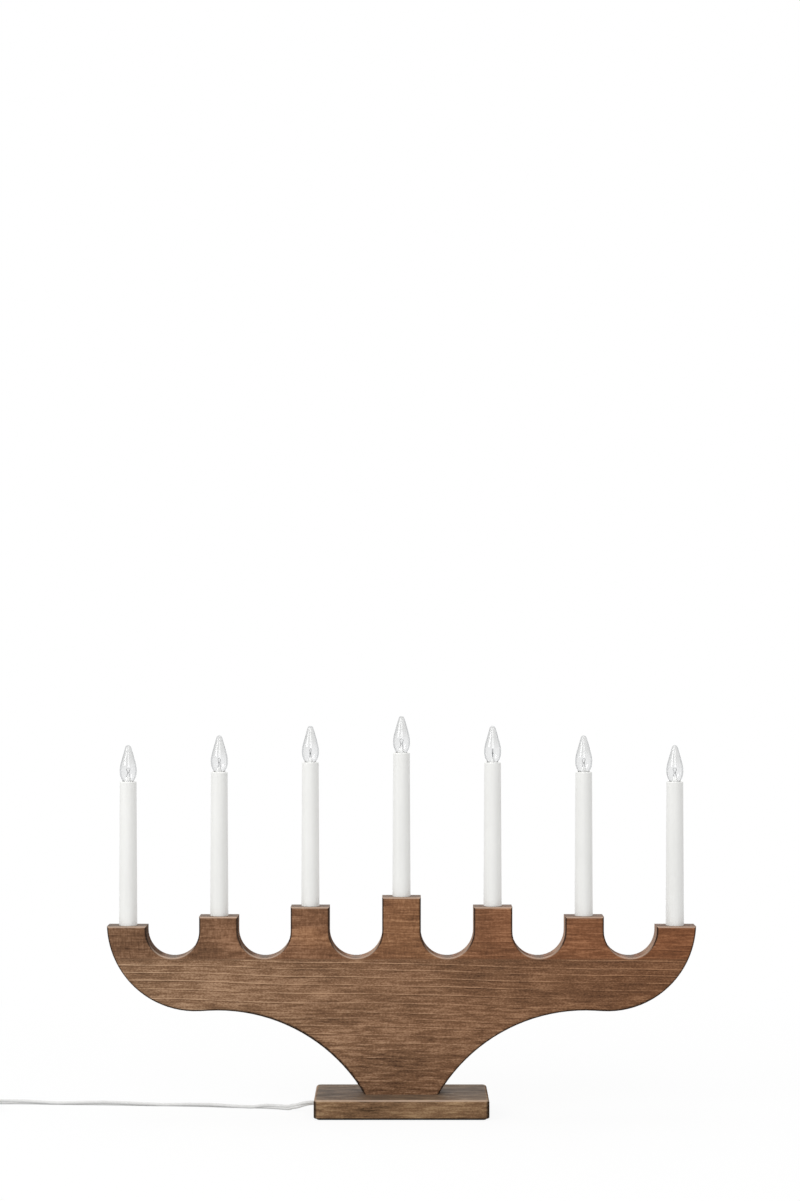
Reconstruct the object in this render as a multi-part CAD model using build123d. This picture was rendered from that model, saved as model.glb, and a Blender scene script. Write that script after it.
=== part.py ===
from build123d import *
import math
import os

# Electric candle arch: seven screw-in flame bulbs on white sleeves, on a wooden arch with a foot.
# Millimetres. +X right, +Y away from the viewer, +Z up, origin under the middle of the foot.

# Board
board_thickness = 28.0
board_half_width = 293.3
candle_count = 7
end_candle_inset = 20.0
notch_radius = 26.3
end_stub_top = 187.0
stub_step = 9.65
notch_floor = 155.7
wing_radius = 88.0
wing_centre_rise = 3.4
under_flat = 8.4
under_rise_deg = 3.1
trunk_half_width = 37.0
edge_round = 2.7

# Foot and its underside
foot_width = 173.0
foot_depth = 90.0
foot_thickness = 18.5
foot_corner_round = 5.0
foot_top_round = 3.0
foot_bottom_round = 1.5
felt_thickness = 1.5
felt_inset = 3.0
recess_width = 44.0
recess_depth = 50.0
recess_height = 10.5
plate_thickness = 2.0
plate_ledge = 5.0

# Wiring groove in the board's back, with its cover
groove_height = 144.5
groove_width = 6.0
groove_floor_y = -1.0
stem_width = 9.0
cover_thickness = 2.9
cover_width = 15.0
stem_cover_width = 20.0
cover_end_past_groove = 1.8
stem_screw_shares = (0.25, 0.7)
drilling_radius = 4.0
drilling_y = 2.0
end_drilling_shift = 4.0
foot_wire_hole_radius = 4.5

# Candle sleeve
sleeve_exposed = 143.6
sleeve_base_radius = 9.05
sleeve_top_radius = 8.35
sleeve_bore_radius = 7.0
sleeve_rim_round = 1.1
sleeve_lip = 1.6
sleeve_mouth_radius = 6.4
spigot_radius = 8.0
spigot_length = 14.0

# Bulb, heights measured from the sleeve's rim
bulb_height = 36.3
bulb_belly_radius = 8.5
bulb_belly_height = 10.0
bulb_shoulder_radius = 34.0
bulb_tip_radius = 3.1
bulb_lower_radius = 17.0
bulb_neck_angle_deg = 30.0
bulb_neck_bend = 3.0
bulb_neck_radius = 4.5
bulb_neck_end = -5.4
glass_wall = 0.6
collar_radius = 5.2
collar_top = -3.3
collar_bottom = -5.6
cap_core_radius = 4.2
cap_wall = 0.5
cap_bottom = -13.0
cap_base_thickness = 0.8
cap_contact_hole = 1.2
end_disc_radius = 3.0
end_disc_thickness = 0.9
end_tip_radius = 1.6
end_tip_height = 0.8

# Lamp screw thread
thread_pitch = 1.814
thread_bar_radius = 0.45
thread_bar_place = 4.25
thread_turns = 3.0
thread_top = -6.6
thread_clearance = 0.1

# Lamp holder inside the sleeve
shell_top = -6.0
shell_bottom = -13.2
shell_inner_radius = 4.35
shell_wall = 0.7
shell_tab_width = 1.8
shell_tab_thickness = 0.5
holder_throat_radius = 5.75
holder_floor_thickness = 3.8
holder_well_radius = 4.0
contact_head_radius = 2.5
contact_head_thickness = 0.8
contact_shank_radius = 1.0
terminal_stick_out = 1.2

# Filament mount inside the glass
stem_thickness = 2.0
lead_radius = 0.2
lead_spread_low = 2.0
lead_knee_height = 4.0
bead_height = 9.2
bead_radius = 1.2
lead_in_bead = 0.55
filament_height = 12.8
filament_spread = 1.9
filament_rise = 1.3
lead_bend = 0.6

# Wires inside
wire_radius = 0.8
wire_bend = 3.0
wire_lane_step = 1.7
wire_rear_lane_y = 8.0

# Cord
cord_diameter = 5.3
cord_exit_height = 9.3
cord_bend_share = 0.45
bush_length = 12.0
bush_wall = 1.6
clamp_length = 7.0
clamp_span = 22.0
clamp_wall = 1.5
clamp_flange = 2.0
terminal_length = 9.0
terminal_span = 14.0
terminal_height = 7.6
terminal_y = 4.0
terminal_hole_y = 3.0
terminal_screw_y = 4.5
terminal_gap = 1.5

# Put-away coil, its tie and the plug
coil_centre_x = -446.0
coil_entry_y = 40.0
coil_outer_radius = 38.5
coil_layer_turns = 3.25
coil_reversal = 0.5
coil_turn_gap = 0.75
coil_lead_out = 14.0
coil_approach = 24.0
coil_tail_drop_length = 34.0
tie_width = 5.0
tie_thickness = 0.8
plug_boot_length = 12.0
plug_boot_radius = 4.6
plug_boot_wall = 0.75
plug_length = 34.0
plug_width = 35.0
plug_thickness = 14.0
plug_nose = 11.0
plug_round = 3.0
pin_spacing = 18.6
pin_radius = 2.0
pin_sleeve_radius = 1.7
pin_sleeve_length = 10.0
pin_length = 19.0
pin_core_radius = 1.2
pin_seat = 8.0

# Screws
foot_screw_radius = 2.0
foot_screw_head = 3.8
foot_screw_length = 45.0
foot_screw_x = 33.0
foot_screw_y = 7.0
small_screw_radius = 1.0
small_screw_head = 1.9
cover_screw_length = 12.0
plate_screw_length = 10.0
clamp_screw_length = 8.0

# Fits
fit = 0.1
loose_fit = 0.2
rest_gap = 0.3

# Places that follow from the sizes above
board_base = felt_thickness + foot_thickness
half_board = board_thickness / 2
half_foot = foot_width / 2
recess_roof = felt_thickness + recess_height
middle = (candle_count - 1) / 2
candles = range(candle_count)
candle_pitch = (board_half_width - end_candle_inset) / middle
stub_width = candle_pitch - 2 * notch_radius
candle_x = [(n - middle) * candle_pitch for n in candles]
stub_top = [end_stub_top + (middle - abs(n - middle)) * stub_step for n in candles]
rim = [top + sleeve_exposed for top in stub_top]
cord_radius = cord_diameter / 2
contact_top = cap_bottom - fit - end_disc_thickness - end_tip_height - fit
holder_floor = contact_top - contact_head_thickness
wire_start = holder_floor - holder_floor_thickness - terminal_stick_out
tab_y = shell_inner_radius + shell_wall / 2
wire_swerve = 4 * wire_bend
wire_slant = 3 * wire_bend


def node(name, shape):
    """Writes one named piece of the object."""
    export_step(shape, f"parts/{name}.step")


def group(solids):
    """Separate solids that share a node."""
    return Compound(children=list(solids))


def rod(radius, low, high, x=0.0, y=0.0):
    """Upright cylinder between two heights."""
    return Pos(x, y, (low + high) / 2) * Cylinder(radius, high - low)


def rod_x(radius, left, right, y, z):
    """Cylinder along X between two places."""
    return Pos((left + right) / 2, y, z) * Rot(0, 90, 0) * Cylinder(radius, right - left)


def rod_y(radius, front, back, x, z):
    """Cylinder along Y between two places."""
    return Pos(x, (front + back) / 2, z) * Rot(90, 0, 0) * Cylinder(radius, back - front)


def block(x, y, z):
    """Box between pairs of limits."""
    centre = Pos((x[0] + x[1]) / 2, (y[0] + y[1]) / 2, (z[0] + z[1]) / 2)
    return centre * Box(x[1] - x[0], y[1] - y[0], z[1] - z[0])


def turned(points):
    """Solid of revolution about Z from an outline of (radius, height) points."""
    outline = Polyline(*[(r, 0, z) for r, z in points], close=True)
    return revolve(Face(Wire(outline.edges())), Axis.Z)


def arc_between(centre, radius, first_deg, last_deg):
    """Arc in the XZ plane about a centre, from one angle to another."""
    def on_circle(angle):
        turn = math.radians(angle)
        return (centre[0] + radius * math.cos(turn), 0, centre[1] + radius * math.sin(turn))

    return ThreePointArc(on_circle(first_deg), on_circle((first_deg + last_deg) / 2), on_circle(last_deg))


def line_between(first, last):
    """Straight edge in the XZ plane."""
    return Line((first[0], 0, first[1]), (last[0], 0, last[1]))


def end_point(edge):
    """Place (x, z) where an edge in the XZ plane ends."""
    place = edge.position_at(1)
    return (place.X, place.Z)


def biarcs(points, tangents):
    """Pairs of tangent arcs through points with given directions."""
    edges = []
    for first, last, start, end in zip(points, points[1:], tangents, tangents[1:]):
        chord = last - first
        spread = 2 * (1 - start.dot(end))
        pull = chord.dot(start + end)
        reach = (math.sqrt(pull * pull + spread * chord.dot(chord)) - pull) / spread
        joint = (first + last + (start - end) * reach) * 0.5
        across = (last - end * reach) - (first + start * reach)
        edges.append(TangentArc(first, joint, tangent=start))
        edges.append(TangentArc(joint, last, tangent=across))
    return edges


def tube(edges, radius):
    """Round bar swept along connected edges."""
    path = Wire(edges)
    section = Plane(origin=path.position_at(0), z_dir=path.tangent_at(0)) * Circle(radius)
    return sweep(section, path=path)


def countersunk(radius, head_radius, length):
    """Screw with its flat head at the origin, pointing up +Z."""
    head_height = head_radius - radius
    return turned([(0, 0), (head_radius, 0), (radius, head_height), (radius, length - radius), (0, length)])


def countersink(radius, head_radius, length, clearance):
    """Room for such a screw."""
    return turned(
        [
            (0, -clearance),
            (head_radius + clearance, -clearance),
            (head_radius + clearance, clearance),
            (radius + clearance, head_radius - radius + clearance),
            (radius + clearance, length + clearance),
            (0, length + clearance),
        ]
    )


# Arch board


def half_outline(bottom):
    """Left half of the board's outline, from its foot round the wing and over the stubs to the middle."""
    wing_centre = (wing_radius - board_half_width, end_stub_top + wing_centre_rise)
    rise = math.radians(under_rise_deg)
    across = math.cos(rise)
    up = math.sin(rise)
    flat_start = (wing_centre[0] + wing_radius * up, wing_centre[1] - wing_radius * across)
    flat_end = (flat_start[0] + under_flat * across, flat_start[1] + under_flat * up)
    reach = (-trunk_half_width - flat_end[0], board_base - flat_end[1])
    cove_radius = math.hypot(*reach) ** 2 / (2 * (reach[0] * up - reach[1] * across))
    cove_centre = (flat_end[0] + cove_radius * up, flat_end[1] - cove_radius * across)
    foot_angle = math.degrees(math.asin((bottom - cove_centre[1]) / cove_radius))
    tip_angle = 180 + math.degrees(math.asin(wing_centre_rise / wing_radius))
    edges = [
        arc_between(cove_centre, cove_radius, foot_angle, 90 + under_rise_deg),
        line_between(flat_end, flat_start),
        arc_between(wing_centre, wing_radius, 270 + under_rise_deg, tip_angle),
    ]
    spring = notch_floor + notch_radius
    here = end_point(edges[-1])
    for n in range(int(middle)):
        edge_x = candle_x[n] + stub_width / 2
        edges.append(line_between(here, (edge_x, stub_top[n])))
        edges.append(line_between((edge_x, stub_top[n]), (edge_x, spring)))
        edges.append(arc_between((edge_x + notch_radius, spring), notch_radius, 180, 360))
        far_x = edge_x + 2 * notch_radius
        edges.append(line_between((far_x, spring), (far_x, stub_top[n + 1])))
        here = (far_x, stub_top[n + 1])
    edges.append(line_between(here, (0, stub_top[int(middle)])))
    return edges


def drilling_x(n):
    """Where candle n's wire drilling lies: the end ones are set inwards, clear of the wing's edge."""
    if n in (0, candle_count - 1):
        return candle_x[n] - math.copysign(end_drilling_shift, candle_x[n])
    return candle_x[n]


groove_end = abs(drilling_x(0))
cover_end = groove_end + groove_width / 2 + cover_end_past_groove - cover_width / 2


def tee(width, end, stem, bottom, front, back):
    """Lying strip with round ends and a stem down to the foot."""
    bar = block((-end, end), (front, back), (groove_height - width / 2, groove_height + width / 2))
    for side in (-end, end):
        bar += rod_y(width / 2, front, back, side, groove_height)
    return bar + block((-stem / 2, stem / 2), (front, back), (bottom, groove_height))


cover_seat_y = half_board - cover_thickness - fit
cover_screw_offset = (groove_width + cover_width) / 4
stem_screw_offset = (stem_width + stem_cover_width) / 4
cover_screw_places = []
for step in range(candle_count - 1):
    side = 1 if step % 2 else -1
    between = candle_x[step] + candle_pitch / 2
    cover_screw_places.append((between, groove_height + side * cover_screw_offset))
for side, share in zip((-1, 1), stem_screw_shares):
    stem_z = board_base + share * (groove_height - board_base)
    cover_screw_places.append((side * stem_screw_offset, stem_z))


def make_board():
    """Board with rounded rims, holes for the sleeves, a wiring groove and its cover's seat."""
    base_extra = 3 * edge_round
    left = half_outline(board_base - base_extra)
    right = [e.mirror(Plane.YZ) for e in left]
    foot_left = left[0].position_at(0)
    foot_line = Line(foot_left, (-foot_left.X, 0, foot_left.Z))
    face = Face(Wire(left + right + [foot_line]))
    board = extrude(face, amount=half_board, dir=(0, 1, 0), both=True)
    rims = board.edges().filter_by(lambda e: abs(abs(e.center().Y) - half_board) < 1e-4)
    board = fillet(rims, edge_round)
    whole_width = (-board_half_width, board_half_width)
    board -= block(whole_width, (-half_board, half_board), (-base_extra, board_base))
    for n in candles:
        floor = stub_top[n] - spigot_length - loose_fit
        board -= rod(spigot_radius + fit, floor, stub_top[n] + edge_round, candle_x[n])
        board -= rod(drilling_radius, groove_height, floor, drilling_x(n), drilling_y)
    board -= tee(groove_width, groove_end, stem_width, board_base, groove_floor_y, half_board)
    open_width = cover_width + 2 * loose_fit
    open_stem = stem_cover_width + 2 * loose_fit
    board -= tee(open_width, cover_end, open_stem, board_base, cover_seat_y, half_board)
    for x, z in cover_screw_places:
        board -= Pos(x, cover_seat_y + cover_thickness, z) * Rot(90, 0, 0) * countersink(
            small_screw_radius, small_screw_head, cover_screw_length, fit
        )
    for place in foot_screw_places():
        board -= Pos(*place) * rod(foot_screw_radius + fit, 0, foot_screw_length + fit)
    return board


def make_rear_cover():
    """Flush strip that closes the wiring groove."""
    face_y = cover_seat_y + cover_thickness
    cover = tee(cover_width, cover_end, stem_cover_width, board_base + rest_gap, cover_seat_y, face_y)
    for x, z in cover_screw_places:
        cover -= Pos(x, face_y, z) * Rot(90, 0, 0) * countersink(
            small_screw_radius, small_screw_head, cover_screw_length, fit
        )
    return cover


def make_cover_screws():
    """Countersunk screws through that strip."""
    screw = Rot(90, 0, 0) * countersunk(small_screw_radius, small_screw_head, cover_screw_length)
    return group(Pos(x, cover_seat_y + cover_thickness, z) * screw for x, z in cover_screw_places)


# Foot


def foot_screw_places():
    """Under the trunk, one each side, clear of the cord's drilling."""
    low = felt_thickness + fit
    return [(side * foot_screw_x, side * foot_screw_y, low) for side in (-1, 1)]


plate_width = recess_width + 2 * plate_ledge
plate_depth = recess_depth + 2 * plate_ledge
plate_top = felt_thickness + fit + plate_thickness
plate_screw_places = [
    (sx * (plate_width - plate_ledge) / 2, sy * (plate_depth - plate_ledge) / 2, felt_thickness + fit)
    for sx in (-1, 1)
    for sy in (-1, 1)
]
clamp_left = -recess_width / 2 + rest_gap
clamp_right = clamp_left + clamp_length
clamp_screw_offset = (clamp_span / 2 + cord_radius + clamp_wall) / 2
clamp_middle = (clamp_left + clamp_right) / 2
clamp_screw_places = [
    (clamp_middle, side * clamp_screw_offset, recess_roof - clamp_flange) for side in (-1, 1)
]
terminal_left = clamp_right + terminal_gap
terminal_right = terminal_left + terminal_length
bush_radius = cord_radius + fit + bush_wall
riser_x = terminal_right + wire_bend + wire_radius + rest_gap


def make_foot():
    """Rounded foot with a recess for the terminals, the cord's bore and the screw holes."""
    foot = block((-half_foot, half_foot), (-foot_depth / 2, foot_depth / 2), (felt_thickness, board_base))
    foot = fillet(foot.edges().filter_by(Axis.Z), foot_corner_round)
    foot = fillet(foot.faces().sort_by(Axis.Z)[-1].edges(), foot_top_round)
    foot = fillet(foot.faces().sort_by(Axis.Z)[0].edges(), foot_bottom_round)
    half_w = recess_width / 2
    half_d = recess_depth / 2
    foot -= block((-half_w, half_w), (-half_d, half_d), (felt_thickness, recess_roof))
    half_pw = plate_width / 2 + loose_fit
    half_pd = plate_depth / 2 + loose_fit
    foot -= block((-half_pw, half_pw), (-half_pd, half_pd), (felt_thickness, plate_top))
    foot -= rod_x(cord_radius + rest_gap, -half_foot, -half_w, 0, cord_exit_height)
    foot -= rod_x(bush_radius + fit, -half_foot, -half_foot + bush_length + fit, 0, cord_exit_height)
    foot -= rod(foot_wire_hole_radius, recess_roof, board_base, riser_x, terminal_y)
    for place in foot_screw_places():
        foot -= Pos(*place) * countersink(foot_screw_radius, foot_screw_head, foot_screw_length, fit)
    for place in plate_screw_places:
        foot -= Pos(*place) * countersink(small_screw_radius, small_screw_head, plate_screw_length, fit)
    for x, y, z in clamp_screw_places:
        foot -= Pos(x, y, z) * rod(small_screw_radius + fit, 0, clamp_screw_length + fit)
    return foot


def make_foot_screws():
    """Screws up through the foot into the board."""
    screw = countersunk(foot_screw_radius, foot_screw_head, foot_screw_length)
    return group(Pos(*place) * screw for place in foot_screw_places())


def make_base_plate():
    """Plate that closes the recess from below."""
    half_pw = plate_width / 2
    half_pd = plate_depth / 2
    plate = block((-half_pw, half_pw), (-half_pd, half_pd), (felt_thickness + fit, plate_top))
    for place in plate_screw_places:
        plate -= Pos(*place) * countersink(small_screw_radius, small_screw_head, plate_screw_length, fit)
    return plate


def make_plate_screws():
    """Screws in the plate's corners."""
    screw = countersunk(small_screw_radius, small_screw_head, plate_screw_length)
    return group(Pos(*place) * screw for place in plate_screw_places)


def make_felt():
    """Felt under the foot."""
    half_w = half_foot - felt_inset
    half_d = foot_depth / 2 - felt_inset
    felt = block((-half_w, half_w), (-half_d, half_d), (0, felt_thickness))
    return fillet(felt.edges().filter_by(Axis.Z), foot_corner_round)


def make_bush():
    """Ring that lines the cord's way into the foot."""
    left = -half_foot
    bush = rod_x(bush_radius, left, left + bush_length, 0, cord_exit_height)
    return bush - rod_x(cord_radius + fit, left, left + bush_length, 0, cord_exit_height)


def make_clamp():
    """Saddle that holds the cord in the recess."""
    half_span = clamp_span / 2
    hump = cord_radius + fit + clamp_wall
    low = cord_exit_height - hump
    along = (clamp_left, clamp_right)
    clamp = block(along, (-half_span, half_span), (recess_roof - clamp_flange, recess_roof))
    clamp += block(along, (-hump, hump), (low, recess_roof))
    clamp -= rod_x(cord_radius + fit, clamp_left, clamp_right, 0, cord_exit_height)
    slot = cord_radius + fit
    clamp -= block(along, (-slot, slot), (cord_exit_height, recess_roof))
    for x, y, z in clamp_screw_places:
        clamp -= Pos(x, y, z) * rod(small_screw_radius + fit, 0, clamp_flange)
    return clamp


def make_clamp_screws():
    """Screws up through the saddle's flanges."""
    head = rod(small_screw_head, -small_screw_head, 0)
    screw = head + rod(small_screw_radius, 0, clamp_screw_length)
    return group(Pos(*place) * screw for place in clamp_screw_places)


def make_terminal():
    """Block where the cord meets the wires."""
    low = recess_roof - terminal_height
    y = (terminal_y - terminal_span / 2, terminal_y + terminal_span / 2)
    body = block((terminal_left, terminal_right), y, (low, recess_roof))
    screw_x = (terminal_left + terminal_right) / 2
    for side in (-1, 1):
        screw_y = terminal_y + side * terminal_screw_y
        body -= rod(small_screw_radius, low, low + terminal_height / 2, screw_x, screw_y)
    return body


def make_inner_cord():
    """Cord from the foot's end to the terminals."""
    return rod_x(cord_radius, -half_foot, terminal_left, 0, cord_exit_height)


# Candle sleeves and lamp holders


def make_sleeve():
    """Tapered sleeve with a spigot for the stub, its origin in the middle of its rim."""
    shoulder = -sleeve_exposed
    outline = [
        (spigot_radius, shoulder - spigot_length),
        (spigot_radius, shoulder),
        (sleeve_base_radius, shoulder),
        (sleeve_top_radius, 0),
        (sleeve_mouth_radius, 0),
        (sleeve_mouth_radius, -sleeve_lip),
        (sleeve_bore_radius, -sleeve_lip),
        (sleeve_bore_radius, shoulder - spigot_length),
    ]
    sleeve = turned(outline)
    top_edges = sleeve.edges().filter_by(GeomType.CIRCLE).group_by(Axis.Z)[-1]
    return fillet(top_edges.sort_by(SortBy.RADIUS)[-1], sleeve_rim_round)


def helix(start_height, turns):
    """Rising right-hand thread line about Z as tangent arcs, a quarter turn at a time."""
    points = []
    directions = []
    for step in range(round(4 * turns) + 1):
        angle = math.tau * (step / 4 + start_height / thread_pitch)
        radial = Vector(math.cos(angle), math.sin(angle), 0)
        ahead = Vector(-math.sin(angle), math.cos(angle), 0)
        points.append(radial * thread_bar_place + Vector(0, 0, start_height + thread_pitch * step / 4))
        directions.append((ahead * math.tau * thread_bar_place + Vector(0, 0, thread_pitch)).normalized())
    return biarcs(points, directions)


def make_socket_shell():
    """Brass screw shell with a soldering tab."""
    outer = shell_inner_radius + shell_wall
    shell = rod(outer, shell_bottom, shell_top) - rod(shell_inner_radius, shell_bottom, shell_top)
    bottom = thread_top - thread_turns * thread_pitch
    above = math.ceil((shell_top - thread_top) / thread_pitch + 1)
    groove = helix(bottom - thread_pitch, thread_turns + 1 + above)
    shell -= tube(groove, thread_bar_radius + thread_clearance)
    half_tab = shell_tab_width / 2
    tab = block(
        (-half_tab, half_tab),
        (outer - shell_tab_thickness, outer),
        (wire_start, shell_bottom + shell_tab_thickness),
    )
    return shell + tab


def make_socket_body():
    """Insulating holder that carries the shell and the end contact."""
    outer = sleeve_bore_radius - fit
    pocket = shell_inner_radius + shell_wall + fit
    bottom = holder_floor - holder_floor_thickness
    body = rod(outer, bottom, -sleeve_lip - fit)
    body -= rod(holder_throat_radius, shell_top, -sleeve_lip)
    body -= rod(pocket, shell_bottom, shell_top)
    body -= rod(holder_well_radius, holder_floor, shell_bottom)
    body -= rod(contact_shank_radius + fit, bottom, holder_floor)
    half_tab = shell_tab_width / 2 + fit
    slot_start = pocket - shell_tab_thickness - 2 * fit
    tab_slot = block((-half_tab, half_tab), (slot_start, pocket), (bottom, shell_bottom))
    return body - tab_slot


def make_socket_contact():
    """Contact under the bulb, with a shank for its wire."""
    head = rod(contact_head_radius, holder_floor, contact_top)
    return head + rod(contact_shank_radius, wire_start, holder_floor)


# Bulbs


def flame(inset):
    """Bulb outline from its tip down to its neck, taken in by a wall."""
    shoulder = bulb_shoulder_radius - inset
    shoulder_centre = (bulb_belly_radius - bulb_shoulder_radius, bulb_belly_height)
    tip = bulb_tip_radius - inset
    tip_centre = (0, bulb_height - bulb_tip_radius)
    apart = (tip_centre[0] - shoulder_centre[0], tip_centre[1] - shoulder_centre[1])
    lean = math.acos((shoulder - tip) / math.hypot(*apart))
    flank_deg = math.degrees(math.atan2(apart[1], apart[0]) - lean)
    edges = [
        arc_between(tip_centre, tip, 90, flank_deg),
        arc_between(shoulder_centre, shoulder, flank_deg, 0),
    ]
    flank_end = edges[1].position_at(0)
    edges.insert(1, line_between(end_point(edges[0]), (flank_end.X, flank_end.Z)))
    lower = bulb_lower_radius - inset
    lower_centre = (bulb_belly_radius - bulb_lower_radius, bulb_belly_height)
    edges.append(arc_between(lower_centre, lower, 0, -bulb_neck_angle_deg))
    bend = bulb_neck_bend + inset
    slope = math.radians(bulb_neck_angle_deg)
    start = end_point(edges[-1])
    bend_x = bulb_neck_radius + bulb_neck_bend - bend * math.cos(slope)
    bend_start = (bend_x, start[1] - (start[0] - bend_x) / math.tan(slope))
    edges.append(line_between(start, bend_start))
    bend_centre = (bulb_neck_radius + bulb_neck_bend, bend_start[1] - bend * math.sin(slope))
    edges.append(arc_between(bend_centre, bend, 180 - bulb_neck_angle_deg, 180))
    edges.append(line_between(end_point(edges[-1]), (bulb_neck_radius - inset, bulb_neck_end)))
    return edges


def make_glass():
    """Hollow flame-shaped glass, open at its neck."""
    outer = flame(0)
    inner = flame(glass_wall)
    top = line_between((0, inner[0].position_at(0).Z), (0, bulb_height))
    bottom = line_between(end_point(outer[-1]), end_point(inner[-1]))
    return revolve(Face(Wire(outer + inner + [top, bottom])), Axis.Z)


def make_cap():
    """Screw cap with its collar round the neck, and a threaded body."""
    inside = cap_core_radius - cap_wall
    floor = cap_bottom + cap_base_thickness
    neck_room = bulb_neck_radius + fit
    cap = turned(
        [
            (cap_contact_hole, cap_bottom),
            (cap_core_radius, cap_bottom),
            (cap_core_radius, collar_bottom),
            (collar_radius, collar_bottom),
            (collar_radius, collar_top),
            (neck_room, collar_top),
            (neck_room, bulb_neck_end - fit),
            (inside, bulb_neck_end - fit),
            (inside, floor),
            (cap_contact_hole, floor),
        ]
    )
    return cap + tube(helix(thread_top - thread_turns * thread_pitch, thread_turns), thread_bar_radius)


def make_end_contact():
    """Insulating disc with the soldered tip, under the cap."""
    top = cap_bottom - fit
    tip_top = top - end_disc_thickness
    disc = rod(end_disc_radius, tip_top, top)
    return disc + rod(end_tip_radius, tip_top - end_tip_height, tip_top)


def make_filament():
    """Stem in the neck, one wire up through a bead, over the filament's bow and down again."""
    stem_top = bulb_neck_end + stem_thickness
    rising = [
        (lead_spread_low, stem_top - stem_thickness / 2),
        (lead_spread_low, lead_knee_height),
        (lead_in_bead, bead_height),
        (filament_spread, filament_height),
    ]
    route = [(-x, 0, z) for x, z in rising]
    route.append((0, 0, filament_height + filament_rise))
    route += [(x, 0, z) for x, z in rising[::-1]]
    wire = tube(FilletPolyline(*route, radius=lead_bend).edges(), lead_radius)
    stem = rod(bulb_neck_radius - glass_wall - fit, bulb_neck_end, stem_top)
    bead = Pos(0, 0, bead_height) * Rot(0, 0, 90) * Sphere(bead_radius)
    return stem + wire + bead


# Wiring inside


def bent_wire(points):
    """Insulated wire along a route, its corners rounded."""
    route = FilletPolyline(*points, radius=wire_bend)
    return tube(route.edges(), wire_radius)


def drop(n, y, low):
    """Route of a wire from candle n's holder down into the groove."""
    top = (candle_x[n], y, rim[n] + wire_start)
    turn = (drilling_x(n), y, low)
    if drilling_x(n) == candle_x[n]:
        return [top, turn]
    floor = stub_top[n] - spigot_length
    return [top, (candle_x[n], y, floor + wire_slant), (drilling_x(n), y, floor), turn]


def make_link_wires():
    """One wire from each holder's shell to the next holder's end contact."""
    lane = groove_height - wire_lane_step
    wires = []
    for n in range(candle_count - 1):
        start = drop(n, tab_y, lane)
        end = drop(n + 1, 0, lane)
        swerve = (drilling_x(n + 1) - wire_swerve, tab_y, lane)
        wires.append(bent_wire(start + [swerve] + end[::-1]))
    return group(wires)


def make_feed_wires():
    """Wires from the foot's terminals to the first holder's end contact and from the last one's shell."""
    lane = groove_height + wire_lane_step
    height = recess_roof - terminal_height / 2
    wires = []
    for n, y, side in ((0, 0, -1), (candle_count - 1, tab_y, 1)):
        way_out = terminal_y + side * terminal_hole_y
        stem_x = side * (stem_width / 2 - 2 * wire_radius)
        route = [
            (terminal_right, way_out, height),
            (riser_x, way_out, height),
            (riser_x, way_out, board_base + wire_swerve),
            (stem_x, wire_rear_lane_y, groove_height / 2),
            (stem_x, wire_rear_lane_y, lane),
            (drilling_x(n) - side * wire_swerve, wire_rear_lane_y, lane),
        ]
        wires.append(bent_wire(route + drop(n, y, lane)[::-1]))
    return group(wires)


# Cord, coil and plug

coil_step = cord_diameter + coil_turn_gap
coil_inner_radius = coil_outer_radius - coil_step * coil_layer_turns
coil_low = tie_thickness + rest_gap + cord_radius
coil_high = coil_low + coil_step
coil_turns = 2 * coil_layer_turns + coil_reversal
coil_centre_y = coil_entry_y - coil_outer_radius


def coil_place(turn):
    """Centre line of the coil: in along the low layer, up in the reversal, out along the high layer."""
    if turn <= coil_layer_turns:
        radius = coil_outer_radius - coil_step * turn
        height = coil_low
    elif turn <= coil_layer_turns + coil_reversal:
        share = (turn - coil_layer_turns) / coil_reversal
        radius = coil_inner_radius - coil_step * coil_reversal * share * (1 - share)
        height = coil_low + (coil_high - coil_low) * (1 - math.cos(math.pi * share)) / 2
    else:
        radius = coil_inner_radius + coil_step * (turn - coil_layer_turns - coil_reversal)
        height = coil_high
    angle = math.tau * (turn + 0.25)
    return Vector(coil_centre_x, coil_centre_y, height) + radius * Vector(math.cos(angle), math.sin(angle), 0)


def coil_direction(turn):
    """Direction of the coil's centre line."""
    small = 1e-4
    return (coil_place(turn + small) - coil_place(turn - small)).normalized()


coil_quarters = [step / 4 for step in range(round(4 * coil_turns) + 1)]
coil_points = [coil_place(t) for t in coil_quarters]
coil_ways = [coil_direction(t) for t in coil_quarters]
coil_start = coil_points[0] - coil_ways[0] * cord_diameter
coil_out = coil_points[-1] + coil_ways[-1] * coil_lead_out
plug_axis_height = plug_thickness / 2
plug_axis_y = coil_out.Y
plug_entry = Vector(coil_out.X - coil_tail_drop_length - cord_diameter, plug_axis_y, plug_axis_height)
tail_end = plug_entry + Vector(cord_diameter, 0, 0)


def coil_edges():
    """Centre line of the coil and of its tail down to the plug."""
    edges = [Line(coil_start, coil_points[0])]
    edges += biarcs(coil_points, coil_ways)
    edges.append(Line(coil_points[-1], coil_out))
    edges += biarcs([coil_out, tail_end], [coil_ways[-1], Vector(-1, 0, 0)])
    edges.append(Line(tail_end, plug_entry))
    return edges


def least_gap(edges):
    """Smallest clear distance between the tube and itself, measured on points of its centre line."""
    sample_step = 2.0
    neighbouring = 8 * cord_diameter
    places = []
    along = 0.0
    for edge in edges:
        count = max(2, math.ceil(edge.length / sample_step))
        for i in range(count):
            places.append((along + edge.length * i / count, edge.position_at(i / count)))
        along += edge.length
    least = math.inf
    for i, (first_along, first) in enumerate(places):
        for second_along, second in places[i + 1:]:
            if second_along - first_along > neighbouring:
                least = min(least, (second - first).length)
    return least - cord_diameter


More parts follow.
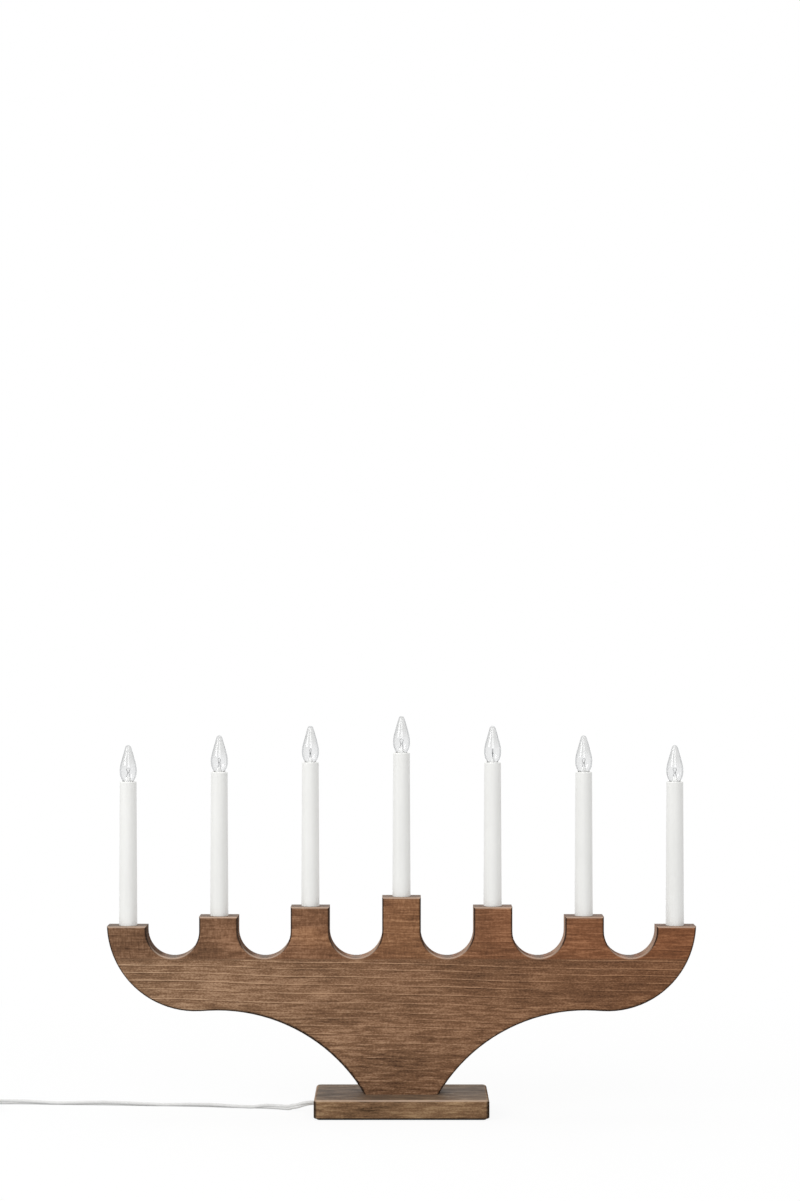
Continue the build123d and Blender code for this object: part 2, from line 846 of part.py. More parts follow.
# The cord's free stretch, from the foot's end over the table to the coil
cord_route = [
    (-half_foot, 0, cord_exit_height),
    (-94.5, 0, cord_exit_height),
    (-106, 4.5, 4.6),
    (-120, 12.5, 2.8),
    (-137, 17.5, 2.7),
    (-157, 18.5, 2.7),
    (-183, 23.5, 2.7),
    (-214, 28.5, 2.7),
    (-256, 30.5, 2.7),
    (-300, 35.5, 2.7),
    (-346, 37, 2.7),
    (-388, 41.5, 2.8),
]


def cord_points():
    """Points of the free stretch, up to where the coil starts."""
    last = coil_start - coil_ways[0] * coil_approach
    return [Vector(*p) for p in cord_route] + [last, coil_start]


def make_cord_run():
    """Cord from the foot to the coil, each bend as wide as its runs allow."""
    points = cord_points()
    radii = []
    for before, here, after in zip(points, points[1:], points[2:]):
        turn = math.radians((here - before).get_angle(after - here))
        shorter = min((here - before).length, (after - here).length)
        radii.append(cord_bend_share * shorter / math.tan(turn / 2))
    print("cord radii", [round(r) for r in radii])
    route = FilletPolyline(*points, radius=radii)
    run = tube(route.edges(), cord_radius)
    length = sum(e.length for e in route.edges())
    print("cord run", round(length, 1), "volume share", run.volume / (math.pi * cord_radius**2 * length))
    return run


def make_coil():
    """Cord in its put-away coil, with its tail."""
    edges = coil_edges()
    coil = tube(edges, cord_radius)
    length = sum(e.length for e in edges)
    print("coil", round(length, 1), "volume share", coil.volume / (math.pi * cord_radius**2 * length))
    print("least gap of the coil to itself", round(least_gap(edges), 2))
    return coil


def make_tie():
    """Flat band round the coil's turns, on the side nearest the viewer."""
    turns = [step + 0.5 for step in range(math.floor(coil_turns))]
    radii = [coil_centre_y - coil_place(t).Y for t in turns]
    room = cord_radius + rest_gap
    near = coil_centre_y - max(radii) - room
    far = coil_centre_y - min(radii) + room
    low = coil_low - room
    high = coil_high + room
    half = tie_width / 2
    x = (coil_centre_x - half, coil_centre_x + half)
    band = tie_thickness
    outer = block(x, (near - band, far + band), (low - band, high + band))
    outer = fillet(outer.edges().filter_by(Axis.X), 3 * band)
    inner = block(x, (near, far), (low, high))
    inner = fillet(inner.edges().filter_by(Axis.X), 2 * band)
    return outer - inner


boot_end = plug_entry.X - plug_boot_length
plug_face = boot_end - plug_length
pin_places = [plug_axis_y + side * pin_spacing / 2 for side in (-1, 1)]


def pin_core(y):
    """Thin root of a pin, from its bare tip into the plug."""
    sleeve_end = plug_face - pin_sleeve_length
    return rod_x(pin_core_radius, sleeve_end, plug_face + pin_seat, y, plug_axis_height)


def make_plug_body():
    """Flat moulded plug, lying on its side, with insulated roots on its pins."""
    half = plug_width / 2
    outline = Polyline(
        (boot_end, plug_axis_y - plug_nose / 2),
        (boot_end, plug_axis_y + plug_nose / 2),
        (boot_end - plug_length / 2, plug_axis_y + half),
        (plug_face, plug_axis_y + half),
        (plug_face, plug_axis_y - half),
        (boot_end - plug_length / 2, plug_axis_y - half),
        close=True,
    )
    body = extrude(Face(Wire(outline.edges())), amount=plug_thickness, dir=(0, 0, 1))
    body = fillet(body.edges().filter_by(Axis.Z), plug_round)
    flats = body.faces().sort_by(Axis.Z)
    body = fillet(flats[0].edges() + flats[-1].edges(), plug_round / 2)
    boot = Cone(cord_radius + plug_boot_wall, plug_boot_radius, plug_boot_length)
    body += Pos((plug_entry.X + boot_end) / 2, plug_axis_y, plug_axis_height) * Rot(0, -90, 0) * boot
    for y in pin_places:
        body += rod_x(pin_sleeve_radius, plug_face - pin_sleeve_length, plug_face, y, plug_axis_height)
    for y in pin_places:
        body -= pin_core(y)
    return body


def make_plug_pins():
    """Pins with bare tips and thin roots."""
    pins = []
    for y in pin_places:
        end = plug_face - pin_length
        tip = rod_x(pin_radius, end, plug_face - pin_sleeve_length, y, plug_axis_height)
        tip = fillet(tip.edges().sort_by(Axis.X)[0], pin_radius / 2)
        pins.append(tip + pin_core(y))
    return group(pins)


os.makedirs("parts", exist_ok=True)

node("arch_board", make_board())
node("rear_cover", make_rear_cover())
node("rear_cover_screws", make_cover_screws())
node("foot_block", make_foot())
node("foot_screws", make_foot_screws())
node("base_plate", make_base_plate())
node("base_plate_screws", make_plate_screws())
node("felt_base", make_felt())
node("cord_bush", make_bush())
node("cord_clamp", make_clamp())
node("cord_clamp_screws", make_clamp_screws())
node("terminal_block", make_terminal())
node("inner_cord", make_inner_cord())
node("link_wires", make_link_wires())
node("feed_wires", make_feed_wires())

sleeve = make_sleeve()
bulb = {
    "bulb_glass": make_glass(),
    "bulb_cap": make_cap(),
    "bulb_contact": make_end_contact(),
    "bulb_filament": make_filament(),
}
on_candle = [Pos(candle_x[n], 0, rim[n]) for n in candles]
for n in candles:
    node(f"candle_sleeve_{n + 1}", on_candle[n] * sleeve)
    for name, piece in bulb.items():
        node(f"{name}_{n + 1}", on_candle[n] * piece)
for name, piece in (
    ("socket_shells", make_socket_shell()),
    ("socket_bodies", make_socket_body()),
    ("socket_contacts", make_socket_contact()),
):
    node(name, group(place * piece for place in on_candle))

node("cord_run", make_cord_run())
node("cord_coil", make_coil())
node("coil_tie", make_tie())
node("plug_body", make_plug_body())
node("plug_pins", make_plug_pins())
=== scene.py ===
import math

import bmesh
import bpy
import numpy as np
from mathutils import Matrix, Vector


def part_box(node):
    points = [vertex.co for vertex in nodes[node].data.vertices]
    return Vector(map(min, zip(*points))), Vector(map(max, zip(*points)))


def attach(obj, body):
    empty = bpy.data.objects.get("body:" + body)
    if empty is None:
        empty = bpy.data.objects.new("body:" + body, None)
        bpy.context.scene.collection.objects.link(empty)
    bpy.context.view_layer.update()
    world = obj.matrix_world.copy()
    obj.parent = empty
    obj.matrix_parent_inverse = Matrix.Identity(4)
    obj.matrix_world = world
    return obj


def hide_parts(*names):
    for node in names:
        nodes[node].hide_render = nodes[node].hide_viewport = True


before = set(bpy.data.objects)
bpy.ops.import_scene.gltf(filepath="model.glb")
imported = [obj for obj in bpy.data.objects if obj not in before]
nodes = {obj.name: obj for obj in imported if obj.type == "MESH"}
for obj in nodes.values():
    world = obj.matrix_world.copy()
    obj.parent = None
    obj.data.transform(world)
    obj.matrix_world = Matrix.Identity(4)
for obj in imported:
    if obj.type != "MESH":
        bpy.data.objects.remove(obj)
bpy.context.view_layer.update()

candles = range(1, 8)
mm_per_metre = 1000
white = (1, 1, 1, 1)


def add_object(name, data):
    """A new object in the scene, at the origin."""
    made = bpy.data.objects.new(name, data)
    bpy.context.scene.collection.objects.link(made)
    return made


# Camera: level, in front of the arch, with a millimetre to a pixel at the board's middle plane

photo_height = 1201
horizon_below_middle = 44.5
eye_distance = 2.43
eye_height = 0.467
eye_aside = -0.0015

lens = bpy.data.cameras.new("photo_camera")
lens.sensor_width = 36
lens.lens = lens.sensor_width * eye_distance * mm_per_metre / photo_height
lens.shift_y = horizon_below_middle / photo_height
camera = add_object("photo_camera", lens)
camera.location = (eye_aside, -eye_distance, eye_height)
camera.rotation_euler = (math.radians(90), 0, 0)
bpy.context.scene.camera = camera
bpy.context.scene.view_settings.view_transform = "Standard"


# Meshes


def grid_faces(rows, columns):
    """Quads between the neighbours of a grid whose rows are rings: a point, the next one round, and both of
    these a row on."""
    row, column = np.meshgrid(np.arange(rows - 1), np.arange(columns), indexing="ij")
    beside = (column + 1) % columns
    near = row * columns
    far = near + columns
    return np.stack([near + column, near + beside, far + beside, far + column], -1).reshape(-1, 4)


def weld(mesh):
    """Merges the points that meet at seams and poles, and turns the faces outwards."""
    meeting = 1e-7
    work = bmesh.new()
    work.from_mesh(mesh)
    bmesh.ops.remove_doubles(work, verts=work.verts, dist=meeting)
    bmesh.ops.recalc_face_normals(work, faces=work.faces)
    work.to_mesh(mesh)
    work.free()


def mesh_of(name, surfaces):
    """One smooth mesh from several (points, faces) surfaces, whose faces count on from one to the next."""
    start = 0
    points = []
    faces = []
    for surface_points, surface_faces in surfaces:
        flat = surface_points.reshape(-1, 3)
        points.append(flat)
        faces += (surface_faces + start).tolist()
        start += len(flat)
    mesh = bpy.data.meshes.new(name)
    mesh.from_pydata(np.concatenate(points).tolist(), [], faces)
    weld(mesh)
    mesh.polygons.foreach_set("use_smooth", np.ones(len(mesh.polygons), bool))
    mesh.update()
    return mesh


def piece(name, surfaces, material, body):
    """An object at the origin, with its place in its mesh, that rides on a body."""
    made = add_object(name, mesh_of(name, surfaces))
    made.data.materials.append(material)
    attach(made, body)
    return made


def capped(points):
    """A row of rings with one more at each end, shrunk to its middle."""
    first = np.broadcast_to(points[:1].mean(1, keepdims=True), points[:1].shape)
    last = np.broadcast_to(points[-1:].mean(1, keepdims=True), points[-1:].shape)
    return np.concatenate([first, points, last])


def arc(centre, radius, start, end, steps):
    """Points on a circle in the (radius, height) plane, from one angle in degrees to another."""
    angle = np.radians(np.linspace(start, end, steps))
    return np.stack([centre[0] + radius * np.cos(angle), centre[1] + radius * np.sin(angle)], -1)


def turned(profile, middle, around):
    """Surface of revolution: each (radius, height) of a profile from axis to axis goes round it."""
    angle = np.linspace(0, math.tau, around, endpoint=False)
    radius = profile[:, :1]
    height = np.broadcast_to(profile[:, 1:], (len(profile), around))
    points = np.stack([radius * np.cos(angle), radius * np.sin(angle), height], -1)
    return points + np.array(middle), grid_faces(len(profile), around)


def unit(vectors):
    """Vectors of length one."""
    return vectors / np.linalg.norm(vectors, axis=-1, keepdims=True)


def carried(line, section, turn):
    """A section of (side, up) points carried along a line, turned about it by an angle at each point.
    Side is level and square to the line, and up is square to both."""
    along = unit(np.gradient(line, axis=0))
    side = unit(np.cross((0, 0, 1), along))
    up = np.cross(along, side)
    across = side * np.cos(turn)[:, None] + up * np.sin(turn)[:, None]
    over = up * np.cos(turn)[:, None] - side * np.sin(turn)[:, None]
    points = line[:, None] + across[:, None] * section[None, :, :1] + over[:, None] * section[None, :, 1:]
    return capped(points), grid_faces(len(line) + 2, len(section))


def spline_line(route):
    """Points of the smooth line that a quadratic NURBS spline draws from the route's control points."""
    steps_per_point = 8
    curve = bpy.data.curves.new("cord_route", "CURVE")
    curve.dimensions = "3D"
    curve.resolution_u = steps_per_point
    spline = curve.splines.new("NURBS")
    spline.points.add(len(route) - 1)
    spline.points.foreach_set("co", np.c_[route, np.ones(len(route))].ravel())
    spline.order_u = 3
    spline.use_endpoint_u = True
    spline.resolution_u = steps_per_point
    holder = bpy.data.objects.new("cord_route", curve)
    mesh = bpy.data.meshes.new_from_object(holder)
    line = np.empty(3 * len(mesh.vertices))
    mesh.vertices.foreach_get("co", line)
    bpy.data.objects.remove(holder)
    bpy.data.curves.remove(curve)
    bpy.data.meshes.remove(mesh)
    return line.reshape(-1, 3)


# Shader nodes


def fill(tree, node, sockets):
    """Sets a node's sockets to values, or links them to other sockets."""
    for key, value in sockets.items():
        if isinstance(value, bpy.types.NodeSocket):
            tree.links.new(value, node.inputs[key])
        else:
            node.inputs[key].default_value = value


def put(tree, kind, sockets, out=0, **settings):
    """Adds a node, fills its sockets, and gives one of its outputs."""
    made = tree.nodes.new(kind)
    for key, value in settings.items():
        setattr(made, key, value)
    fill(tree, made, sockets)
    return made.outputs[out]


def calc(tree, operation, *values):
    """One step of arithmetic on values or sockets."""
    return put(tree, "ShaderNodeMath", dict(enumerate(values)), operation=operation)


def summed(tree, start, weights):
    """A start value with each socket times its weight added."""
    total = start
    for value, weight in weights:
        total = calc(tree, "MULTIPLY_ADD", value, weight, total)
    return total


def centred(tree, mark, weight):
    """A mark from 0 to 1 times a weight, with its middle at zero."""
    return calc(tree, "MULTIPLY_ADD", mark, weight, -0.5 * weight)


def product(tree, first, second):
    """Two vectors or values multiplied, axis by axis."""
    return put(tree, "ShaderNodeVectorMath", {0: first, 1: second}, operation="MULTIPLY")


def axes_of(tree, vector):
    """A vector's three numbers."""
    return put(tree, "ShaderNodeSeparateXYZ", {0: vector}).node.outputs


def noise(tree, vector, detail=2.0, roughness=0.5):
    """Soft noise from 0 to 1."""
    sockets = {"Vector": vector, "Scale": 1.0, "Detail": detail, "Roughness": roughness}
    return put(tree, "ShaderNodeTexNoise", sockets)


def mottle(tree, place, scale, detail=2.0, roughness=0.5):
    """Soft noise with a scale of its own along each axis."""
    return noise(tree, put(tree, "ShaderNodeMapping", {"Vector": place, "Scale": scale}), detail, roughness)


def spread(tree, value, low, high, to_low=0.0, to_high=1.0):
    """Carries a value from one range to another, and stops at its ends."""
    sockets = {"Value": value, "From Min": low, "From Max": high, "To Min": to_low, "To Max": to_high}
    return put(tree, "ShaderNodeMapRange", sockets)


def blend_colour(tree, share, first, second, way="MIX"):
    """The first colour, with a share of the second laid over it."""
    settings = {"data_type": "RGBA", "blend_type": way, "clamp_factor": True}
    return put(tree, "ShaderNodeMix", {0: share, 6: first, 7: second}, out=2, **settings)


def two_tones(tree, share, shade, colour):
    """A shade where a noise is below its middle, and a colour where it is above."""
    middle_range = (0.35, 0.65)
    return blend_colour(tree, spread(tree, share, *middle_range), shade, colour)


def raised(tree, height, distance):
    """A normal bent by a height, where a height of one stands up by the distance."""
    return put(tree, "ShaderNodeBump", {"Height": height, "Distance": distance, "Strength": 1.0})


def effect(name, inputs, outputs):
    """A shader node group with named values in and named values out."""
    tree = bpy.data.node_groups.new(name, "ShaderNodeTree")
    for label, kind, value in inputs:
        socket = tree.interface.new_socket(label, in_out="INPUT", socket_type=kind)
        if value is not None:
            socket.default_value = value
    for label in outputs:
        tree.interface.new_socket(label, in_out="OUTPUT", socket_type="NodeSocketFloat")
    return tree, tree.nodes.new("NodeGroupInput").outputs, tree.nodes.new("NodeGroupOutput").inputs


def use(tree, group, sockets):
    """Places a group in a tree, and gives its outputs by name."""
    made = tree.nodes.new("ShaderNodeGroup")
    made.node_tree = group
    fill(tree, made, sockets)
    return made.outputs


def timber_group():
    """Growth lines: the height, bent by slow noise, tilted and scaled, is cut into cells of uneven width, and
    at each cut lies a pale line with a dark one beside it. Streaks and specks are noise drawn out along the
    grain, the hatch is noise drawn out across it, and the patches show where the stain took more or less."""
    tree, given, result = effect(
        "timber",
        [
            ("Vector", "NodeSocketVector", None),
            ("Line Scale", "NodeSocketFloat", 110.0),
            ("Wander", "NodeSocketFloat", 0.016),
            ("Slope", "NodeSocketFloat", -0.015),
        ],
        ["Lines", "Shadows", "Streaks", "Specks", "Hatch", "Patches"],
    )
    drift_scale = (3.0, 5.0, 7.0)
    depth_tilt = 0.4
    fade_scale = (8.0, 30.0, 70.0)
    fade_range = (0.28, 0.56)
    line_width = (0.02, 0.08)
    line_places = {"Lines": 0.0, "Shadows": 0.11}
    grain = {
        "Streaks": ((45.0, 200.0, 430.0), 3.0, 0.34, 0.66),
        "Specks": ((420.0, 420.0, 800.0), 2.0, 0.34, 0.66),
        "Hatch": ((520.0, 300.0, 150.0), 2.0, 0.36, 0.64),
        "Patches": ((9.0, 20.0, 26.0), 3.0, 0.32, 0.68),
    }
    grain_roughness = 0.6
    place = given["Vector"]
    x, y, z = axes_of(tree, place)
    drift = calc(tree, "SUBTRACT", mottle(tree, place, drift_scale), 0.5)
    level = summed(tree, z, [(drift, given["Wander"]), (y, depth_tilt), (x, given["Slope"])])
    level = calc(tree, "MULTIPLY", level, given["Line Scale"])
    fade = spread(tree, mottle(tree, place, fade_scale), *fade_range)
    for label, beside in line_places.items():
        edge = put(
            tree,
            "ShaderNodeTexVoronoi",
            {"W": calc(tree, "ADD", level, beside), "Scale": 1.0},
            out="Distance",
            voronoi_dimensions="1D",
            feature="DISTANCE_TO_EDGE",
        )
        line = spread(tree, edge, *line_width, 1.0, 0.0)
        tree.links.new(calc(tree, "MULTIPLY", line, fade), result[label])
    for label, (scale, detail, low, high) in grain.items():
        mark = mottle(tree, place, scale, detail, grain_roughness)
        tree.links.new(spread(tree, mark, low, high), result[label])
    return tree


def moulding_group():
    """Fine speckle, slow patches, and faint flow marks that are drawn out along one axis, all three noise."""
    tree, given, result = effect(
        "moulding",
        [
            ("Vector", "NodeSocketVector", None),
            ("Speckle Scale", "NodeSocketFloat", 1500.0),
            ("Flow Scale", "NodeSocketVector", (300.0, 300.0, 8.0)),
        ],
        ["Speckle", "Flow", "Patches"],
    )
    patch_scale = (25.0, 25.0, 25.0)
    place = given["Vector"]
    sockets = {"Vector": place, "Scale": given["Speckle Scale"], "Detail": 2.0}
    tree.links.new(put(tree, "ShaderNodeTexNoise", sockets), result["Speckle"])
    tree.links.new(noise(tree, product(tree, place, given["Flow Scale"])), result["Flow"])
    tree.links.new(mottle(tree, place, patch_scale, detail=3.0), result["Patches"])
    return tree


def metal_group():
    """Fine drawn lines, and dull patches of old handling, both noise."""
    tree, given, result = effect(
        "drawn_metal",
        [("Vector", "NodeSocketVector", None), ("Line Scale", "NodeSocketVector", (200.0, 200.0, 4000.0))],
        ["Drawn", "Dull"],
    )
    dull_scale = (350.0, 350.0, 350.0)
    tree.links.new(noise(tree, product(tree, given["Vector"], given["Line Scale"])), result["Drawn"])
    tree.links.new(mottle(tree, given["Vector"], dull_scale, detail=3.0), result["Dull"])
    return tree


timber = timber_group()
moulding = moulding_group()
drawn_metal = metal_group()


# Finishes


def shade_of(red, green, blue):
    """A colour as it looks on a screen, from 0 to 255, as the linear light that shaders take."""
    share = np.array([red, green, blue]) / 255
    linear = np.where(share <= 0.04045, share / 12.92, ((share + 0.055) / 1.055) ** 2.4)
    return (*linear.tolist(), 1)


def finish_of(name):
    """A material, its tree, its surface shader, and the object's own coordinates."""
    material = bpy.data.materials.new(name)
    material.use_nodes = True
    tree = material.node_tree
    shader = tree.nodes["Principled BSDF"]
    place = tree.nodes.new("ShaderNodeTexCoord").outputs["Object"]
    return material, tree, shader, place


noise_range = (0.3, 0.7)
# Painted tones for the wood: a deep painted shade for sides and undersides, a grey painted shade for level
# tops, and pale painted light and highlight
deep_painted_shade = shade_of(34, 27, 23)
top_painted_shade = shade_of(90, 86, 79)
pale_painted_light = shade_of(198, 176, 158)


def board_grain(tree, marks, hatch, zones, share, speck, lined):
    """The board's grain by zone: above its glue joint it is hatched, less so to the right, with weaker specks
    and lines, and in the trunk it is more streaked, with weaker lines."""
    upper, along, trunk = zones
    hatch_loss = -0.85
    trunk_streaks = 0.2
    trunk_shade = -0.09
    upper_speck_loss = -0.45
    upper_line_loss = -0.72
    trunk_line_loss = -0.62
    hatched = calc(tree, "MULTIPLY", upper, calc(tree, "MULTIPLY_ADD", along, hatch_loss, 1.0))
    streaked = calc(tree, "MULTIPLY_ADD", marks["Streaks"], trunk_streaks, trunk_shade)
    share = summed(tree, share, [(centred(tree, marks["Hatch"], hatch), hatched), (streaked, trunk)])
    speck = calc(tree, "MULTIPLY", speck, calc(tree, "MULTIPLY_ADD", upper, upper_speck_loss, 1.0))
    kept = summed(tree, 1.0, [(upper, upper_line_loss), (trunk, trunk_line_loss)])
    return share, speck, calc(tree, "MULTIPLY", lined, kept)


def board_tint(tree, tints, upper, along):
    """Each half of the board goes from one tint at its left to another at its right, and the upper half has a
    lighter one about its middle."""
    middle_place = 0.48
    middle_reach = (0.14, 0.04)
    lower_tint = blend_colour(tree, along, tints["lower left"], tints["lower right"])
    upper_tint = blend_colour(tree, along, tints["upper left"], tints["upper right"])
    from_middle = calc(tree, "ABSOLUTE", calc(tree, "ADD", along, -middle_place))
    near_middle = spread(tree, from_middle, *middle_reach)
    upper_tint = blend_colour(tree, near_middle, upper_tint, tints["upper middle"])
    return blend_colour(tree, upper, lower_tint, upper_tint)


def painted_light_and_shade(tree, colour):
    """A wood's colour with light and shade painted by the way that its surface faces: level tops get a
    painted grey shade, sides and undersides a painted dark shade, the most at their rounded edges, flat sides
    that look left get painted light instead, and rounded edges that look up a painted pale highlight. The
    mask of the painted side and underside shade comes back too."""
    aside_range = (0.3, 0.65)
    left_range = (-0.3, -0.65)
    under_range = (-0.2, -0.55)
    round_range = (0.05, 0.25)
    upper_range = (0.4, 0.65)
    level_range = (0.97, 0.998)
    top_shade_share = 0.5
    flat_shade_share = 0.5
    edge_shade_share = 0.88
    left_light_share = 0.45
    edge_highlight_share = 0.55
    x, y, z = axes_of(tree, tree.nodes["Texture Coordinate"].outputs["Normal"])
    aside = spread(tree, calc(tree, "ABSOLUTE", x), *aside_range)
    painted_shade_mask = calc(tree, "MAXIMUM", aside, spread(tree, z, *under_range))
    rounded = spread(tree, calc(tree, "ABSOLUTE", y), *round_range)
    level = spread(tree, z, *level_range)
    # painted grey shade on level tops
    colour = blend_colour(tree, calc(tree, "MULTIPLY", level, top_shade_share), colour, top_painted_shade)
    # painted dark shade on sides and undersides, strongest at their rounded edges, least on flat sides that
    # look left
    least = spread(tree, x, *left_range, flat_shade_share, 0.0)
    shade_share = calc(tree, "MULTIPLY_ADD", rounded, calc(tree, "SUBTRACT", edge_shade_share, least), least)
    colour = blend_colour(tree, calc(tree, "MULTIPLY", painted_shade_mask, shade_share), colour, deep_painted_shade)
    # painted light on flat sides that look left
    left_lit = calc(tree, "MULTIPLY", spread(tree, x, *left_range), calc(tree, "SUBTRACT", 1.0, rounded))
    colour = blend_colour(tree, calc(tree, "MULTIPLY", left_lit, left_light_share), colour, pale_painted_light)
    # painted highlight on rounded edges that look up
    wear_and_highlight = calc(tree, "MULTIPLY", spread(tree, z, *upper_range), rounded)
    return blend_colour(tree, calc(tree, "MULTIPLY", wear_and_highlight, edge_highlight_share), colour, pale_painted_light), painted_shade_mask


def stained_wood(name, tones, grain, lines, gloss, layout=None):
    """Stained timber: dark, middle and light tones laid by the sum of the grain's marks, each times its
    weight, with light and shade painted by the way that the surface faces. A layout is the board's, whose
    grain starts afresh above a glue joint."""
    fresh_grain = (0.37, 0.11, 0.23)
    joint_half = 0.0006
    tint_wander = 0.12
    tint_ends = (-0.25, 0.27)
    trunk_above = 0.04
    trunk_below = 0.03
    speck_height = 0.5
    grain_height = 0.00012
    shaded_roughness = 0.4
    streak_roughness = (0.58, 0.44)
    material, tree, shader, place = finish_of(name)
    dark, middle, light = tones
    streaks, specks, hatch, patches, pale, shadows = grain
    line_scale, wander, slope = lines
    x, _, z = axes_of(tree, place)
    grain_place = place
    if layout:
        upper = spread(tree, z, layout["joint"] - joint_half, layout["joint"] + joint_half)
        shift = product(tree, fresh_grain, upper)
        grain_place = put(tree, "ShaderNodeVectorMath", {0: place, 1: shift}, operation="ADD")
    sockets = {"Vector": grain_place, "Line Scale": line_scale, "Wander": wander, "Slope": slope}
    marks = use(tree, timber, sockets)
    laid = [(marks["Streaks"], streaks), (marks["Patches"], patches)]
    share = summed(tree, 0.5 - 0.5 * (streaks + patches), laid)
    speck = centred(tree, marks["Specks"], specks)
    lined = summed(tree, 0.0, [(marks["Lines"], pale), (marks["Shadows"], -shadows)])
    if layout:
        along = calc(tree, "ADD", x, -tint_wander / 2)
        along = calc(tree, "MULTIPLY_ADD", marks["Patches"], tint_wander, along)
        along = spread(tree, along, *tint_ends)
        trunk = spread(tree, z, layout["trunk"] + trunk_above, layout["trunk"] - trunk_below)
        zones = (upper, along, trunk)
        share, speck, lined = board_grain(tree, marks, hatch, zones, share, speck, lined)
    share = calc(tree, "ADD", calc(tree, "ADD", share, speck), lined)
    colour = blend_colour(tree, spread(tree, share, 0.0, 0.5), dark, middle)
    colour = blend_colour(tree, spread(tree, share, 0.5, 1.0), colour, light)
    if layout:
        tint = board_tint(tree, layout["tints"], upper, along)
        colour = blend_colour(tree, 1.0, colour, tint, "MULTIPLY")
    # light and shade painted by the way the surface faces, and the mask of the painted side and underside
    # shade
    colour, painted_shade_mask = painted_light_and_shade(tree, colour)
    height = calc(tree, "MULTIPLY_ADD", marks["Specks"], speck_height, marks["Streaks"])
    roughness = spread(tree, marks["Streaks"], 0.0, 1.0, *streak_roughness)
    sockets = {
        "Base Color": colour,
        "Roughness": calc(tree, "MULTIPLY_ADD", painted_shade_mask, shaded_roughness, roughness),
        "Normal": raised(tree, height, grain_height),
        "Specular IOR Level": gloss,
    }
    fill(tree, shader, sockets)
    return material


def moulded(name, colour, shade, roughness, flow=(300.0, 300.0, 8.0), speckle=1500.0, lift=0.00002):
    """Moulded plastic: two near tones in faint patches and flow marks, and a fine speckle in its gloss."""
    change = 0.06
    flow_share = 0.5
    material, tree, shader, place = finish_of(name)
    marks = use(tree, moulding, {"Vector": place, "Speckle Scale": speckle, "Flow Scale": flow})
    patched = calc(tree, "MULTIPLY", marks["Patches"], 1 - flow_share)
    share = calc(tree, "MULTIPLY_ADD", marks["Flow"], flow_share, patched)
    sockets = {
        "Base Color": two_tones(tree, share, shade, colour),
        "Roughness": spread(tree, marks["Speckle"], *noise_range, roughness - change, roughness + change),
        "Normal": raised(tree, marks["Speckle"], lift),
    }
    fill(tree, shader, sockets)
    return material


def metal(name, colour, dull, roughness):
    """Drawn or turned metal: fine lines in its gloss, duller and darker where it was handled."""
    line_scale = (200.0, 200.0, 4000.0)
    line_height = 0.00001
    change = 0.08
    dull_range = (0.4, 0.65)
    dull_roughness = 0.15
    material, tree, shader, place = finish_of(name)
    marks = use(tree, drawn_metal, {"Vector": place, "Line Scale": line_scale})
    wear_and_highlight = spread(tree, marks["Dull"], *dull_range)
    drawn = spread(tree, marks["Drawn"], *noise_range, roughness - change, roughness + change)
    sockets = {
        "Base Color": blend_colour(tree, wear_and_highlight, colour, dull),
        "Roughness": calc(tree, "MULTIPLY_ADD", wear_and_highlight, dull_roughness, drawn),
        "Normal": raised(tree, marks["Drawn"], line_height),
        "Metallic": 1.0,
    }
    fill(tree, shader, sockets)
    return material


middle_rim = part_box("candle_sleeve_4")[1].z
end_low, end_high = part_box("candle_sleeve_7")
rim_fall = (middle_rim - end_high.z) / ((end_low.x + end_high.x) / 2)


def clear_glass(name, density):
    """Blown glass: almost clear, with a slow ripple, a painted grey shade where a look goes along its wall,
    and a faint painted grey shade above its belly. The height above a candle's rim is z, plus the rims' fall
    times the way from the middle, less the height of the middle rim."""
    upper_painted_grey = (0.93, 0.93, 0.925, 1)
    upper_grey_heights = (0.012, 0.023)
    rim_painted_grey = (0.3, 0.31, 0.32, 1)
    slant_range = (0.4, 0.95)
    wall_grey = (0.3, 0.32, 0.33, 1)
    ripple_scale = (90.0, 90.0, 60.0)
    ripple_height = 0.000003
    haze_scale = (260.0, 260.0, 180.0)
    haze_range = (0.4, 0.7)
    haze_roughness = (0.05, 0.08)
    material, tree, shader, place = finish_of(name)
    x, _, z = axes_of(tree, place)
    above_rim = summed(tree, -middle_rim, [(z, 1.0), (calc(tree, "ABSOLUTE", x), rim_fall)])
    # painted grey shade above the belly
    clear = blend_colour(tree, spread(tree, above_rim, *upper_grey_heights), white, upper_painted_grey)
    waves = mottle(tree, place, ripple_scale, detail=1.0)
    haze = mottle(tree, place, haze_scale, detail=3.0)
    slant = put(tree, "ShaderNodeLayerWeight", {"Blend": 0.5}, out="Facing")
    sockets = {
        # painted grey shade where a look grazes the wall
        "Base Color": blend_colour(tree, spread(tree, slant, *slant_range), clear, rim_painted_grey),
        "Normal": raised(tree, waves, ripple_height),
        "Roughness": spread(tree, haze, *haze_range, *haze_roughness),
        "IOR": 1.47,
        "Transmission Weight": 1.0,
    }
    fill(tree, shader, sockets)
    wall = put(tree, "ShaderNodeVolumeAbsorption", {"Color": wall_grey, "Density": density})
    tree.links.new(wall, tree.nodes["Material Output"].inputs["Volume"])
    return material


def felted(name, colour, shade):
    """Pressed felt: matted hairs as fine drawn-out noise in colour and height, and slow tufts in colour."""
    hair_scale = (1400.0, 700.0, 1400.0)
    hair_height = 0.0004
    hair_share = 0.6
    tuft_scale = (220.0, 260.0, 220.0)
    material, tree, shader, place = finish_of(name)
    hairs = mottle(tree, place, hair_scale, detail=4.0, roughness=0.7)
    tufts = mottle(tree, place, tuft_scale, detail=3.0)
    share = calc(tree, "MULTIPLY_ADD", hairs, hair_share, calc(tree, "MULTIPLY", tufts, 1 - hair_share))
    sockets = {
        "Base Color": two_tones(tree, share, shade, colour),
        "Normal": raised(tree, hairs, hair_height),
        "Roughness": 0.95,
        "Sheen Weight": 0.3,
    }
    fill(tree, shader, sockets)
    return material


